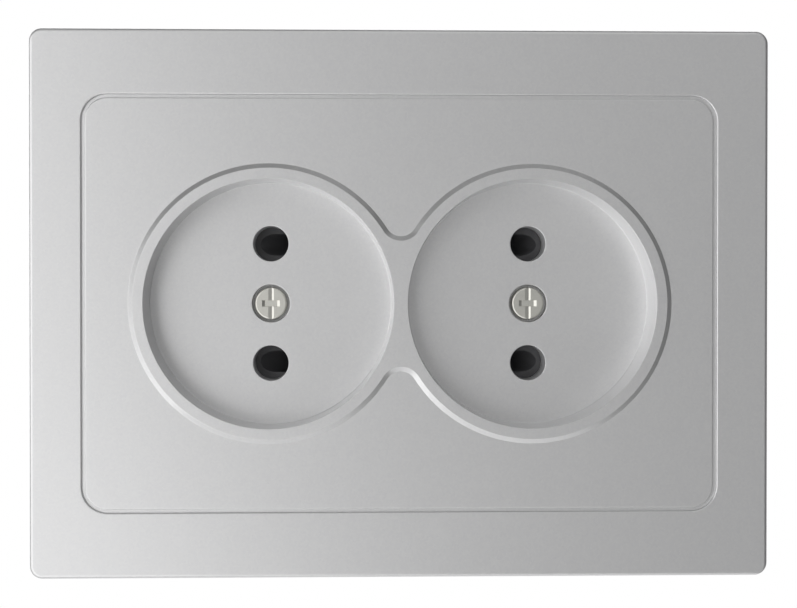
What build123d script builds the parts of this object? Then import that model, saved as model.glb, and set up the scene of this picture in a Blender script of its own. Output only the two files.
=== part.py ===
from build123d import *
import math
import os

os.makedirs("parts", exist_ok=True)

# Double wall socket for a round flush box. Sizes are in millimetres.
# X runs to the right, Z up, and the face looks along -Y. The wall's surface is the plane y = 0.
# A level is a distance from the wall, plus towards the room and minus into the box.

# Face of the two sockets
dish_diameter = 38.8
dish_spacing = 2.2            # land left between the two dish rims
dish_depth = 7.0
dish_draft = 0.2              # the wall leans in by this much down to the floor
dish_floor_fillet = 0.5
dish_mouth_margin = 0.3       # flat floor left outside a pin hole's edge
dish_wall = 1.8
dish_floor = 2.0
dish_rim_edge = 0.25
bowl_edge = 0.8               # least cut at the back edge of a dish
collar_width = 2.6            # from the dish rim to the foot of the raised collar
collar_height = 0.6
collar_slope = 0.7            # width of the collar's sloping side
collar_foot = 0.05            # upright step under the slope
crotch_radius = 2.5           # inside corner where the two collars meet

# Plug pins and their holes
pin_pitch = 19.0
pin_length = 19.0
pin_diameter = 4.8
pin_play = 0.2                # round the pin in an open shutter
pin_hole_diameter = 5.7
pin_hole_length = 5.8
pin_hole_edge = 0.25
pin_tube_wall = 1.2

# Frame and front plate
frame_width = 115.0
frame_height = 85.2
frame_corner = 2.0
frame_edge_round = 0.6
frame_wall = 2.0
frame_face = 2.0
border_side = 7.75            # face of the frame at the left and right
border_top = 9.85             # face of the frame at the top and bottom
window_corner = 4.4
window_edge = 0.3
groove_width = 1.05
groove_depth = 0.45
land_thickness = 2.05         # edge of the front plate that lies on the frame's ledge
ledge_width = 2.2
ledge_thickness = 1.8
ledge_corner = 2.2
step_wall = 1.5
rib_thickness = 1.0
rib_pitch = 24.0
skirt_depth = 3.0
skirt_wall = 1.5
plate_fit = 0.2               # between the front plate and the frame

# Shutters, their springs and their carrier
shutter_thickness = 4.6
shutter_lap = 0.35            # a shutter's arm covers its hole by this much
ramp_lead = 1.7               # tip of the ramp, outwards of the hole's centre
shutter_web = 2.5
slide_gap = 0.3
spring_length = 9.3
spring_diameter = 4.0
spring_wire = 0.4
spring_wire_sides = 6
spring_turns = 6
spring_end_gap = 0.1
peg_diameter = 2.4
peg_length = 1.4
guide_wall = 1.3              # round the cover screw in the carrier
seat_proud = 0.2              # the spring's seat stands this far off the guide post
seat_margin = 0.6
carrier_wall = 1.1
carrier_floor = 1.2
carrier_pin_hole_diameter = 6.2
stop_thickness = 1.2
notch_half_height = 5.0       # clears the screw posts of the wall box

# Screws
cover_thread = 2.9
cover_thread_hole = 3.4
cover_head_diameter = 5.0
cover_head_height = 1.9
cover_head_edge = 0.35
cover_recess_diameter = 6.0
cover_slot_width = 0.8
cover_slot_depth = 0.9
cover_cross_span = 2.7
cover_cross_width = 0.9
cover_cross_depth = 1.3
cover_screw_length = 16.6
cover_boss_wall = 1.8
insert_diameter = 5.0
insert_length = 6.0
insert_fit = 0.05
carrier_post_diameter = 6.0
carrier_post_z = 9.0
carrier_screw_thread = 2.2
carrier_screw_head = 4.6
carrier_head_height = 1.4
carrier_screw_length = 8.0
thread_fit = 0.1              # between a screw and its tapped hole, across

# Contacts and terminals
bar_thickness = 0.8
bar_width = 6.4
grip_width = 8.0
grip_pinch = 4.2              # gap between the leaves before a pin goes in
grip_mouth = 5.6              # gap between the leaves at their flared ends
grip_bend = 1.5
pin_end_room = 2.1            # free length behind the pin's tip
pinch_depth = 3.5             # from the front of the base to the pinch
clip_thickness = 0.7
clip_height = 2.5
clip_gap = 0.35
clip_slit = 3.0
terminal_x = 5.5
terminal_thread = 3.4
terminal_head_diameter = 6.0
terminal_head_height = 2.0
terminal_slot = 0.9
terminal_screw_length = 5.9
clamp_size = 7.6
clamp_thickness = 1.2
clamp_corner = 0.8
wire_slot_width = 4.4
wire_slot_height = 4.5

# Base
base_wall = 2.0
base_end_wall = 1.6
base_floor = 5.7
base_corner = 8.0
trough_gap = 0.4
trough_corner = 1.0
part_gap = 0.4                # between pieces that pass each other
base_side_wall_length = 36.0
ear_width = 11.0
ear_thickness = 3.0
ear_margin = 3.5

# Support plate, rivets and claws
support_width = 72.0
support_margin = 6.0          # from a box screw to the plate's edge
support_thickness = 1.0
support_corner = 5.0
dish_clearance = 0.6          # between the support plate and the dishes
box_screw_pitch = 60.0
box_slot_width = 4.2
box_slot_length = 8.2
rivet_diameter = 3.0
rivet_fit = 0.1
rivet_head_diameter = 5.6
rivet_head_height = 1.0
rivet_offset = 4.0            # from the base's side to the rivet
claw_x = 11.5
claw_width = 9.0
claw_thickness = 1.2
claw_screw_offset = 4.9       # from the base's side to the claw screw
claw_reach = 4.5              # from the claw screw to the blade
claw_blade = 9.0
claw_flare = 0.6
claw_bend = 1.4
claw_tooth = 1.6
claw_depth = 19.0             # from the wall to the foot of a slack claw
claw_screw_thread = 2.9
claw_screw_head = 5.5
claw_head_height = 1.8
claw_screw_length = 26.5
claw_slot_fit = 0.5
nut_size = 5.5
nut_thickness = 2.4
nut_gap = 0.1
ramp_rise = 5.0 / 12.0        # outward travel of a claw for each millimetre forward
ramp_foot = 0.8
ramp_rib = 1.3
ramp_gap = 0.15
ramp_end_room = 1.5           # the ramp's foot stays this far from the base's back

# Places across the face
socket_x = (dish_diameter + dish_spacing) / 2
pin_z = pin_pitch / 2
pin_places = [(x, z) for x in (-socket_x, socket_x) for z in (-pin_z, pin_z)]
screw_places = [(-socket_x, 0), (socket_x, 0)]
post_places = [(0, -carrier_post_z), (0, carrier_post_z)]
terminal_places = [(x, z) for x in (-terminal_x, terminal_x) for z in (-pin_z, pin_z)]

# Round between a dish's wall and floor, kept clear of the pin holes
mouth_reach = pin_z + pin_hole_diameter / 2 + pin_hole_edge + dish_mouth_margin
floor_fillet = min(dish_floor_fillet, dish_diameter / 2 - dish_draft - mouth_reach)

# Levels, from the support plate out to the face
dish_back_level = support_thickness + dish_clearance
dish_floor_level = dish_back_level + dish_floor
collar_level = dish_floor_level + dish_depth
face_level = collar_level - collar_height
groove_level = face_level - groove_depth
ledge_level = groove_level - land_thickness
ledge_back_level = ledge_level - ledge_thickness

# Levels, from the dish floor into the box
tube_end_level = dish_floor_level - pin_hole_length
shutter_front_level = tube_end_level - slide_gap
shutter_back_level = shutter_front_level - shutter_thickness
carrier_floor_level = shutter_back_level - slide_gap
carrier_back_level = carrier_floor_level - carrier_floor
base_front_level = carrier_back_level - part_gap
bar_front_level = dish_floor_level - pin_length - pin_end_room
bar_back_level = bar_front_level - bar_thickness
base_back_level = bar_back_level - base_floor
claw_front_level = -claw_depth
claw_back_level = claw_front_level - claw_thickness

# Frame and plate outlines
window_width = frame_width - 2 * border_side
window_height = frame_height - 2 * border_top
plate_width = window_width - 2 * groove_width
plate_height = window_height - 2 * groove_width
ledge_opening_width = window_width - 2 * ledge_width
ledge_opening_height = window_height - 2 * ledge_width

# Shutter sizes: a ramp at 45 degrees ends at the edge of the opening that lets a pin through
arm_half = pin_hole_diameter / 2 + shutter_lap
opening_radius = pin_diameter / 2 + pin_play
shutter_travel = shutter_thickness + opening_radius - ramp_lead
shutter_half_height = pin_z + arm_half
guide_radius = cover_thread_hole / 2 + guide_wall
spring_seat_x = -socket_x + guide_radius + seat_proud
web_outer_x = spring_seat_x + spring_length
web_inner_x = web_outer_x + shutter_web
spring_level = (shutter_front_level + shutter_back_level) / 2

# Carrier sizes: its ends are round, to clear the shutters' ends when they are open
carrier_inner_half_height = shutter_half_height + slide_gap
carrier_half_height = carrier_inner_half_height + carrier_wall
carrier_inner_half_width = socket_x + arm_half + shutter_travel + slide_gap
carrier_half_width = carrier_inner_half_width + carrier_wall
carrier_inner_radius = math.hypot(socket_x + shutter_travel, pin_z) + arm_half + slide_gap
carrier_radius = carrier_inner_radius + carrier_wall
notch_x = socket_x + guide_radius + carrier_wall + slide_gap

# Base sizes
grip_half = grip_mouth / 2 + bar_thickness
clip_half = grip_pinch / 2 + bar_thickness + clip_gap + clip_thickness
trough_half_height = max(grip_half, clip_half, clamp_size / 2) + trough_gap
trough_half_length = socket_x + grip_width / 2 + clip_gap + clip_thickness + trough_gap
base_half_width = trough_half_length + base_end_wall
base_half_height = max(carrier_half_height + part_gap, pin_z + trough_half_height) + base_wall
rivet_z = base_half_height + rivet_offset
claw_z = base_half_height + claw_screw_offset

# The back edge of a dish is cut off far enough to clear the heads of the claw screws
bowl_radius = dish_diameter / 2 + dish_wall
claw_head_reach = math.hypot(socket_x - claw_x, claw_z) - claw_screw_head / 2 - part_gap
claw_head_rise = claw_head_height - dish_clearance
bowl_chamfer = max(bowl_edge, bowl_radius - dish_draft + claw_head_rise - claw_head_reach)


def level(distance):
    return Plane.XZ.offset(distance)


def side(x):
    # A plane across X whose first axis is the level and whose second axis is Z.
    return Plane(origin=(x, 0, 0), x_dir=(0, -1, 0), z_dir=(-1, 0, 0))


def finish(piece, name):
    piece.part.label = name
    export_step(piece.part, f"parts/{name}.step")


# Outer frame: a hollow moulding with a ledge round its window
with BuildPart() as outer_frame:
    with BuildSketch(level(0)):
        RectangleRounded(frame_width, frame_height, frame_corner)
    extrude(amount=face_level)
    fillet(outer_frame.faces().sort_by(Axis.Y)[0].edges(), frame_edge_round)
    with BuildSketch(level(0)):
        Rectangle(frame_width - 2 * frame_wall, frame_height - 2 * frame_wall)
    extrude(amount=face_level - frame_face, mode=Mode.SUBTRACT)
    with BuildSketch(level(ledge_back_level)):
        step_corner = window_corner + step_wall
        RectangleRounded(window_width + 2 * step_wall, window_height + 2 * step_wall, step_corner)
        rib_x = (frame_width - 2 * frame_wall + window_width + 2 * step_wall) / 4
        rib_z = (frame_height - 2 * frame_wall + window_height + 2 * step_wall) / 4
        with GridLocations(rib_pitch, 2 * rib_z, 4, 2):
            Rectangle(rib_thickness, border_top - frame_wall - step_wall)
        with GridLocations(2 * rib_x, rib_pitch, 2, 3):
            Rectangle(border_side - frame_wall - step_wall, rib_thickness)
    extrude(amount=face_level - frame_face - ledge_back_level)
    with BuildSketch(level(ledge_back_level)):
        RectangleRounded(ledge_opening_width, ledge_opening_height, ledge_corner)
    extrude(amount=face_level - ledge_back_level, mode=Mode.SUBTRACT)
    with BuildSketch(level(ledge_level)):
        RectangleRounded(window_width, window_height, window_corner)
    extrude(amount=face_level - ledge_level, mode=Mode.SUBTRACT)
    chamfer(outer_frame.faces().sort_by(Axis.Y)[0].inner_wires().edges(), window_edge)
finish(outer_frame, "outer_frame")

# Front plate: edge on the frame's ledge, raised collar, two dishes, pin tubes, screw bosses and posts
with BuildPart() as front_plate:
    with BuildSketch(level(ledge_level)):
        land_corner = window_corner - plate_fit
        RectangleRounded(window_width - 2 * plate_fit, window_height - 2 * plate_fit, land_corner)
    extrude(amount=land_thickness)
    with BuildSketch(level(groove_level)):
        RectangleRounded(plate_width, plate_height, window_corner - groove_width)
    extrude(amount=groove_depth)
    chamfer(front_plate.faces().sort_by(Axis.Y)[0].edges(), window_edge)
    with BuildSketch(level(ledge_level)):
        skirt_width = ledge_opening_width - 2 * plate_fit
        skirt_height = ledge_opening_height - 2 * plate_fit
        RectangleRounded(skirt_width, skirt_height, ledge_corner - plate_fit)
        Rectangle(skirt_width - 2 * skirt_wall, skirt_height - 2 * skirt_wall, mode=Mode.SUBTRACT)
    extrude(amount=-skirt_depth)
    with BuildSketch(level(face_level)) as collar_outline:
        with Locations(*screw_places):
            Circle(dish_diameter / 2 + collar_width)
        fillet(collar_outline.vertices().filter_by_position(Axis.X, -0.1, 0.1), crotch_radius)
    extrude(amount=collar_height)
    collar_top = front_plate.faces().sort_by(Axis.Y)[0]
    chamfer(collar_top.edges(), collar_slope, collar_height - collar_foot, reference=collar_top)
    for x in (-socket_x, socket_x):
        with BuildSketch(Plane.XY) as bowl_section:
            with BuildLine():
                Polyline(
                    (x, -dish_back_level),
                    (x + bowl_radius - dish_draft, -dish_back_level),
                    (x + bowl_radius, -groove_level),
                    (x, -groove_level),
                    close=True,
                )
            make_face()
            bowl_corner = bowl_section.vertices().group_by(Axis.Y)[-1].sort_by(Axis.X)[-1]
            chamfer(bowl_corner, bowl_chamfer)
        revolve(axis=Axis((x, 0, 0), (0, 1, 0)))
    with BuildSketch(level(dish_back_level)):
        with Locations(*pin_places):
            Circle(pin_hole_diameter / 2 + pin_tube_wall)
        with Locations(*screw_places):
            Circle(cover_thread_hole / 2 + cover_boss_wall)
    extrude(amount=tube_end_level - dish_back_level)
    with BuildSketch(level(carrier_floor_level)):
        with Locations(*post_places):
            Circle(carrier_post_diameter / 2)
    extrude(amount=groove_level - carrier_floor_level)
    for x in (-socket_x, socket_x):
        with BuildSketch(Plane.XY) as dish_section:
            with BuildLine():
                Polyline(
                    (x, -dish_floor_level),
                    (x + dish_diameter / 2 - dish_draft, -dish_floor_level),
                    (x + dish_diameter / 2, -collar_level),
                    (x, -collar_level),
                    close=True,
                )
            make_face()
            dish_corner = dish_section.vertices().group_by(Axis.Y)[-1].sort_by(Axis.X)[-1]
            fillet(dish_corner, floor_fillet)
        revolve(axis=Axis((x, 0, 0), (0, 1, 0)), mode=Mode.SUBTRACT)
    with BuildSketch(level(tube_end_level)):
        with Locations(*pin_places):
            Circle(pin_hole_diameter / 2)
        with Locations(*screw_places):
            Circle(cover_thread_hole / 2)
    extrude(amount=pin_hole_length, mode=Mode.SUBTRACT)
    with BuildSketch(level(dish_back_level)):
        with Locations(*screw_places):
            Circle(cover_recess_diameter / 2)
    extrude(amount=dish_floor, mode=Mode.SUBTRACT)
    with BuildSketch(level(carrier_floor_level)):
        with Locations(*post_places):
            Circle(carrier_screw_thread / 2 + thread_fit / 2)
    extrude(amount=carrier_screw_length, mode=Mode.SUBTRACT)
    rings = front_plate.edges().filter_by(GeomType.CIRCLE)
    mouths = rings.filter_by_position(Axis.Y, -dish_floor_level - 0.01, -dish_floor_level + 0.01)
    chamfer(mouths.filter_by(lambda ring: ring.radius < dish_diameter / 4), pin_hole_edge)
    rims = rings.filter_by_position(Axis.Y, -collar_level - 0.01, -collar_level + 0.01)
    chamfer(rims.filter_by(lambda ring: abs(ring.radius - dish_diameter / 2) < 0.01), dish_rim_edge)
finish(front_plate, "front_plate")

# Cover screws: a round head with a full slot and a small cross
with BuildPart() as cover_screws:
    cover_head_level = dish_back_level + cover_head_height
    with BuildSketch(level(dish_back_level)):
        with Locations(*screw_places):
            Circle(cover_head_diameter / 2)
    extrude(amount=cover_head_height)
    chamfer(cover_screws.faces().group_by(Axis.Y)[0].edges(), cover_head_edge)
    with BuildSketch(level(cover_head_level)):
        with Locations(*screw_places):
            Rectangle(cover_slot_width, cover_head_diameter)
    extrude(amount=-cover_slot_depth, mode=Mode.SUBTRACT)
    with BuildSketch(level(cover_head_level)):
        with Locations(*screw_places):
            Rectangle(cover_cross_span, cover_cross_width)
            Rectangle(cover_cross_width, cover_cross_span)
    extrude(amount=-cover_cross_depth, mode=Mode.SUBTRACT)
    with BuildSketch(level(dish_back_level)):
        with Locations(*screw_places):
            Circle(cover_thread / 2)
    extrude(amount=-cover_screw_length)
finish(cover_screws, "cover_screws")

# Space that one plug pin clears in a shutter: a round-bottomed ramp down to an opening
with BuildPart() as ramp_space:
    tip = Vector(-socket_x - ramp_lead, -shutter_front_level, 0)
    ramp_up = Vector(1, -1, 0).normalized()
    ramp_plane = Plane(origin=tip + ramp_up * opening_radius, x_dir=(0, 0, 1), z_dir=(1, 1, 0))
    ramp_reach = 2 * (shutter_thickness + shutter_travel)
    with BuildSketch(ramp_plane):
        Circle(opening_radius)
        with Locations((0, ramp_reach / 2)):
            Rectangle(2 * opening_radius, ramp_reach)
    extrude(amount=ramp_reach, both=True)
    with BuildSketch(level(shutter_back_level)):
        with Locations((-socket_x + shutter_travel, 0)):
            Circle(opening_radius)
            Rectangle(ramp_reach, 2 * opening_radius, align=(Align.MAX, Align.CENTER))
    extrude(amount=shutter_thickness, mode=Mode.INTERSECT)

# Shutters: two arms joined by a web, open outwards so that they pass the carrier's guide post
with BuildPart() as left_shutter:
    with BuildSketch(level(shutter_back_level)):
        with Locations((web_inner_x, 0)):
            shutter_length = web_inner_x + socket_x
            Rectangle(shutter_length, 2 * shutter_half_height, align=(Align.MAX, Align.CENTER))
        with Locations((-socket_x, -pin_z), (-socket_x, pin_z)):
            Circle(arm_half)
        with Locations((web_outer_x, 0)):
            slot_length = web_outer_x + socket_x + arm_half
            slot_height = 2 * (pin_z - arm_half)
            slot_align = (Align.MAX, Align.CENTER)
            Rectangle(slot_length, slot_height, align=slot_align, mode=Mode.SUBTRACT)
    extrude(amount=shutter_thickness)
    with Locations((0, 0, -pin_z), (0, 0, pin_z)):
        add(ramp_space.part, mode=Mode.SUBTRACT)
    with BuildSketch(Plane.YZ.offset(web_outer_x)):
        with Locations((-spring_level, 0)):
            Circle(peg_diameter / 2)
    extrude(amount=-peg_length)
finish(left_shutter, "left_shutter")

with BuildPart() as right_shutter:
    mirror(left_shutter.part, about=Plane.YZ)
finish(right_shutter, "right_shutter")

# Shutter springs, between the carrier's seat and the shutter's web
with BuildPart() as left_shutter_spring:
    coil_length = spring_length - 2 * spring_end_gap - spring_wire
    coil_start = (spring_seat_x + spring_end_gap + spring_wire / 2, -spring_level, 0)
    with BuildLine() as coil_line:
        Helix(
            pitch=coil_length / spring_turns,
            height=coil_length,
            radius=(spring_diameter - spring_wire) / 2,
            center=coil_start,
            direction=(1, 0, 0),
        )
    with BuildSketch(Plane(origin=coil_line.line @ 0, z_dir=coil_line.line % 0)):
        RegularPolygon(spring_wire / 2, spring_wire_sides)
    sweep(path=coil_line.line, is_frenet=True)
finish(left_shutter_spring, "left_shutter_spring")

with BuildPart() as right_shutter_spring:
    mirror(left_shutter_spring.part, about=Plane.YZ)
finish(right_shutter_spring, "right_shutter_spring")

# Shutter carrier: a tray with guide posts, spring seats and stops
with BuildPart() as shutter_carrier:
    with BuildSketch(level(carrier_back_level)):
        Rectangle(2 * carrier_half_width, 2 * carrier_half_height)
        Circle(carrier_radius, mode=Mode.INTERSECT)
        for notch_side in (-1, 1):
            with Locations((notch_side * (notch_x + carrier_half_width), 0)):
                Rectangle(2 * carrier_half_width, 2 * notch_half_height, mode=Mode.SUBTRACT)
    extrude(amount=tube_end_level - carrier_back_level)
    with BuildSketch(level(carrier_floor_level)):
        Rectangle(2 * carrier_inner_half_width, 2 * carrier_inner_half_height)
        Circle(carrier_inner_radius, mode=Mode.INTERSECT)
        for notch_side in (-1, 1):
            with Locations((notch_side * (notch_x - carrier_wall + carrier_half_width), 0)):
                notch_outer_height = 2 * (notch_half_height + carrier_wall)
                Rectangle(2 * carrier_half_width, notch_outer_height, mode=Mode.SUBTRACT)
    extrude(amount=tube_end_level - carrier_floor_level, mode=Mode.SUBTRACT)
    with BuildSketch(level(carrier_floor_level)):
        with Locations(*screw_places):
            Circle(guide_radius)
        for seat_side in (-1, 1):
            with Locations((seat_side * (socket_x + spring_seat_x) / 2 - seat_side * socket_x, 0)):
                Rectangle(socket_x + spring_seat_x, spring_diameter + 2 * seat_margin)
            with Locations((seat_side * (-web_inner_x - slide_gap - stop_thickness / 2), 0)):
                Rectangle(stop_thickness, 2 * carrier_inner_half_height)
    extrude(amount=shutter_front_level - carrier_floor_level)
    for seat_side in (-1, 1):
        with BuildSketch(Plane.YZ.offset(-seat_side * spring_seat_x)):
            with Locations((-spring_level, 0)):
                Circle(peg_diameter / 2)
        extrude(amount=-seat_side * peg_length)
    with BuildSketch(level(carrier_back_level)):
        with Locations(*pin_places):
            Circle(carrier_pin_hole_diameter / 2)
        with Locations(*screw_places):
            Circle(cover_thread_hole / 2)
        with Locations(*post_places):
            Circle(carrier_screw_thread / 2 + thread_fit)
    extrude(amount=tube_end_level - carrier_back_level, mode=Mode.SUBTRACT)
finish(shutter_carrier, "shutter_carrier")

# Carrier screws, driven from behind into the front plate's posts
with BuildPart() as carrier_screws:
    with BuildSketch(level(carrier_back_level)):
        with Locations(*post_places):
            Circle(carrier_screw_head / 2)
    extrude(amount=-carrier_head_height)
    with BuildSketch(level(carrier_back_level)):
        with Locations(*post_places):
            Circle(carrier_screw_thread / 2)
    extrude(amount=carrier_screw_length)
finish(carrier_screws, "carrier_screws")

# Base: two troughs for the contacts, walls up to the support plate, ears for the rivets, ramps for the claws
with BuildPart() as base:
    with BuildSketch(level(base_back_level)):
        RectangleRounded(2 * base_half_width, 2 * base_half_height, base_corner)
    extrude(amount=base_front_level - base_back_level)
    with BuildSketch(level(base_front_level)):
        with GridLocations(0, 2 * base_half_height - base_wall, 1, 2):
            Rectangle(base_side_wall_length, base_wall)
    extrude(amount=-base_front_level)
    with BuildSketch(level(0)):
        ear_length = rivet_offset + ear_margin
        with GridLocations(0, 2 * base_half_height + ear_length, 1, 2):
            Rectangle(ear_width, ear_length)
    extrude(amount=-ear_thickness)
    with BuildSketch(level(bar_back_level)):
        with GridLocations(0, pin_pitch, 1, 2):
            RectangleRounded(2 * trough_half_length, 2 * trough_half_height, trough_corner)
    extrude(amount=base_front_level - bar_back_level, mode=Mode.SUBTRACT)
    with BuildSketch(level(bar_front_level)):
        with GridLocations(2 * terminal_x, 2 * base_half_height, 2, 2):
            Rectangle(wire_slot_width, 2 * (base_half_height - pin_z))
    extrude(amount=wire_slot_height, mode=Mode.SUBTRACT)
    with BuildSketch(level(bar_back_level)):
        with Locations(*terminal_places):
            Circle(terminal_thread / 2 + part_gap)
    extrude(amount=-(terminal_screw_length - clamp_thickness), mode=Mode.SUBTRACT)
    with BuildSketch(level(base_front_level)):
        with Locations(*screw_places):
            Circle(insert_diameter / 2 + insert_fit)
    extrude(amount=-insert_length, mode=Mode.SUBTRACT)
    with BuildSketch(level(base_front_level)):
        with Locations(*screw_places):
            Circle(cover_thread_hole / 2)
    extrude(amount=dish_back_level - cover_screw_length - part_gap - base_front_level, mode=Mode.SUBTRACT)
    with BuildSketch(level(0)):
        with Locations((0, -rivet_z), (0, rivet_z)):
            Circle(rivet_diameter / 2 + rivet_fit)
    extrude(amount=-ear_thickness, mode=Mode.SUBTRACT)
    ramp_foot_level = base_back_level + ramp_end_room
    ramp_foot_z = base_half_height + ramp_foot
    ramp_head_z = ramp_foot_z + (base_front_level - ramp_foot_level) * ramp_rise
    rib_inner = nut_size / 2 + part_gap
    for turn in (-1, 1):
        for rib_side in (-1, 1):
            with BuildSketch(side(turn * (claw_x + rib_side * (rib_inner + ramp_rib / 2)))):
                with BuildLine():
                    Polyline(
                        (ramp_foot_level, turn * (base_half_height - base_wall / 2)),
                        (ramp_foot_level, turn * ramp_foot_z),
                        (base_front_level, turn * ramp_head_z),
                        (base_front_level, turn * (base_half_height - base_wall / 2)),
                        close=True,
                    )
                make_face()
            extrude(amount=ramp_rib / 2, both=True)
finish(base, "base")

# Threaded inserts in the base, for the cover screws
with BuildPart() as cover_inserts:
    with BuildSketch(level(base_front_level)):
        with Locations(*screw_places):
            Circle(insert_diameter / 2)
            Circle(cover_thread / 2 + thread_fit / 2, mode=Mode.SUBTRACT)
    extrude(amount=-insert_length)
finish(cover_inserts, "cover_inserts")

# Busbars: a flat strip with a pair of bowed leaves for one pin of each socket
with BuildPart() as upper_busbar:
    with BuildSketch(level(bar_back_level)):
        with Locations((0, pin_z)):
            Rectangle(2 * socket_x + grip_width, bar_width)
        with Locations((-terminal_x, pin_z), (terminal_x, pin_z)):
            Circle(terminal_thread / 2 + thread_fit / 2, mode=Mode.SUBTRACT)
    extrude(amount=bar_thickness)
    leaf_root = (bar_width - bar_thickness) / 2
    leaf_pinch = (grip_pinch + bar_thickness) / 2
    leaf_mouth = (grip_mouth + bar_thickness) / 2
    for x in (-socket_x, socket_x):
        for leaf in (-1, 1):
            with BuildSketch(side(x)):
                with BuildLine() as leaf_line:
                    FilletPolyline(
                        (bar_back_level, pin_z + leaf * leaf_root),
                        (bar_front_level + grip_bend, pin_z + leaf * leaf_root),
                        (base_front_level - pinch_depth, pin_z + leaf * leaf_pinch),
                        (base_front_level - bar_thickness, pin_z + leaf * leaf_mouth),
                        radius=grip_bend,
                    )
                trace(leaf_line.line, line_width=bar_thickness)
            extrude(amount=grip_width / 2, both=True)
finish(upper_busbar, "upper_busbar")

with BuildPart() as lower_busbar:
    mirror(upper_busbar.part, about=Plane.XY)
finish(lower_busbar, "lower_busbar")

# Spring clips round the leaves, slit at one end
with BuildPart() as contact_clips:
    with BuildSketch(level(base_front_level - pinch_depth - clip_height)):
        clip_length = grip_width + 2 * clip_gap
        clip_width = grip_pinch + 2 * bar_thickness + 2 * clip_gap
        with Locations(*pin_places):
            clip_outer_length = clip_length + 2 * clip_thickness
            RectangleRounded(clip_outer_length, clip_width + 2 * clip_thickness, clip_thickness)
            Rectangle(clip_length, clip_width, mode=Mode.SUBTRACT)
            with Locations(((clip_length + clip_thickness) / 2, 0)):
                Rectangle(2 * clip_thickness, clip_slit, mode=Mode.SUBTRACT)
    extrude(amount=clip_height)
finish(contact_clips, "contact_clips")

# Terminal clamps and screws
with BuildPart() as terminal_clamps:
    with BuildSketch(level(bar_front_level)):
        with Locations(*terminal_places):
            RectangleRounded(clamp_size, clamp_size, clamp_corner)
            Circle(terminal_thread / 2 + thread_fit / 2, mode=Mode.SUBTRACT)
    extrude(amount=clamp_thickness)
finish(terminal_clamps, "terminal_clamps")

with BuildPart() as terminal_screws:
    clamp_level = bar_front_level + clamp_thickness
    with BuildSketch(level(clamp_level)):
        with Locations(*terminal_places):
            Circle(terminal_head_diameter / 2)
    extrude(amount=terminal_head_height)
    with BuildSketch(level(clamp_level + terminal_head_height)):
        with Locations(*terminal_places):
            Rectangle(terminal_head_diameter, terminal_slot)
    extrude(amount=-terminal_slot, mode=Mode.SUBTRACT)
    with BuildSketch(level(clamp_level)):
        with Locations(*terminal_places):
            Circle(terminal_thread / 2)
    extrude(amount=-terminal_screw_length)
finish(terminal_screws, "terminal_screws")

# Support plate on the wall, open in the middle for the carrier, with slots for the box screws
with BuildPart() as support_plate:
    with BuildSketch(level(0)):
        RectangleRounded(support_width, box_screw_pitch + 2 * support_margin, support_corner)
    extrude(amount=support_thickness)
    with BuildSketch(level(0)):
        Rectangle(2 * (carrier_half_width + part_gap), 2 * (carrier_half_height + part_gap))
        Circle(carrier_radius + part_gap, mode=Mode.INTERSECT)
    extrude(amount=support_thickness, mode=Mode.SUBTRACT)
    with BuildSketch(level(0)):
        with GridLocations(0, box_screw_pitch, 1, 2):
            SlotOverall(box_slot_length, box_slot_width, rotation=90)
        with Locations((0, -rivet_z), (0, rivet_z)):
            Circle(rivet_diameter / 2 + rivet_fit)
        with Locations((claw_x, claw_z), (-claw_x, -claw_z)):
            Circle((claw_screw_thread + claw_slot_fit) / 2)
    extrude(amount=support_thickness, mode=Mode.SUBTRACT)
finish(support_plate, "support_plate")

# Rivets through the support plate and the base's ears
with BuildPart() as base_rivets:
    with BuildSketch(level(-ear_thickness)):
        with Locations((0, -rivet_z), (0, rivet_z)):
            Circle(rivet_diameter / 2)
    extrude(amount=ear_thickness + support_thickness)
    with BuildSketch(level(support_thickness)):
        with Locations((0, -rivet_z), (0, rivet_z)):
            Circle(rivet_head_diameter / 2)
    extrude(amount=rivet_head_height)
    with BuildSketch(level(-ear_thickness)):
        with Locations((0, -rivet_z), (0, rivet_z)):
            Circle(rivet_head_diameter / 2)
    extrude(amount=-rivet_head_height)
finish(base_rivets, "base_rivets")

# Claws: a forked foot that straddles its screw and slides on the ramp, and a toothed blade
with BuildPart() as upper_claw:
    foot_level = (claw_front_level + claw_back_level) / 2
    foot_inner_z = ramp_foot_z + (claw_front_level - ramp_foot_level) * ramp_rise + ramp_gap
    blade_z = claw_z + claw_reach
    blade_level = claw_front_level + claw_blade
    with BuildSketch(side(claw_x)):
        with BuildLine() as claw_line:
            FilletPolyline(
                (foot_level, foot_inner_z),
                (foot_level, blade_z),
                (blade_level, blade_z + claw_flare),
                radius=claw_bend,
            )
        trace(claw_line.line, line_width=claw_thickness)
    extrude(amount=claw_width / 2, both=True)
    with BuildSketch(level(claw_back_level)):
        fork_width = claw_screw_thread + claw_slot_fit
        with Locations((claw_x, claw_z)):
            Circle(fork_width / 2)
            Rectangle(fork_width, claw_z - ramp_foot_z, align=(Align.CENTER, Align.MAX))
    extrude(amount=claw_thickness, mode=Mode.SUBTRACT)
    with BuildSketch(Plane.XY.offset(blade_z - claw_thickness)):
        for notch in (-1, 0, 1):
            with BuildLine():
                notch_x_place = claw_x + notch * claw_width / 3
                Polyline(
                    (notch_x_place - claw_width / 6, -blade_level - claw_thickness / 2),
                    (notch_x_place, -blade_level + claw_tooth),
                    (notch_x_place + claw_width / 6, -blade_level - claw_thickness / 2),
                    close=True,
                )
            make_face()
    extrude(amount=2 * claw_thickness + claw_flare, mode=Mode.SUBTRACT)
finish(upper_claw, "upper_claw")

with BuildPart() as lower_claw:
    add(upper_claw.part.rotate(Axis.Y, 180))
finish(lower_claw, "lower_claw")

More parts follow.
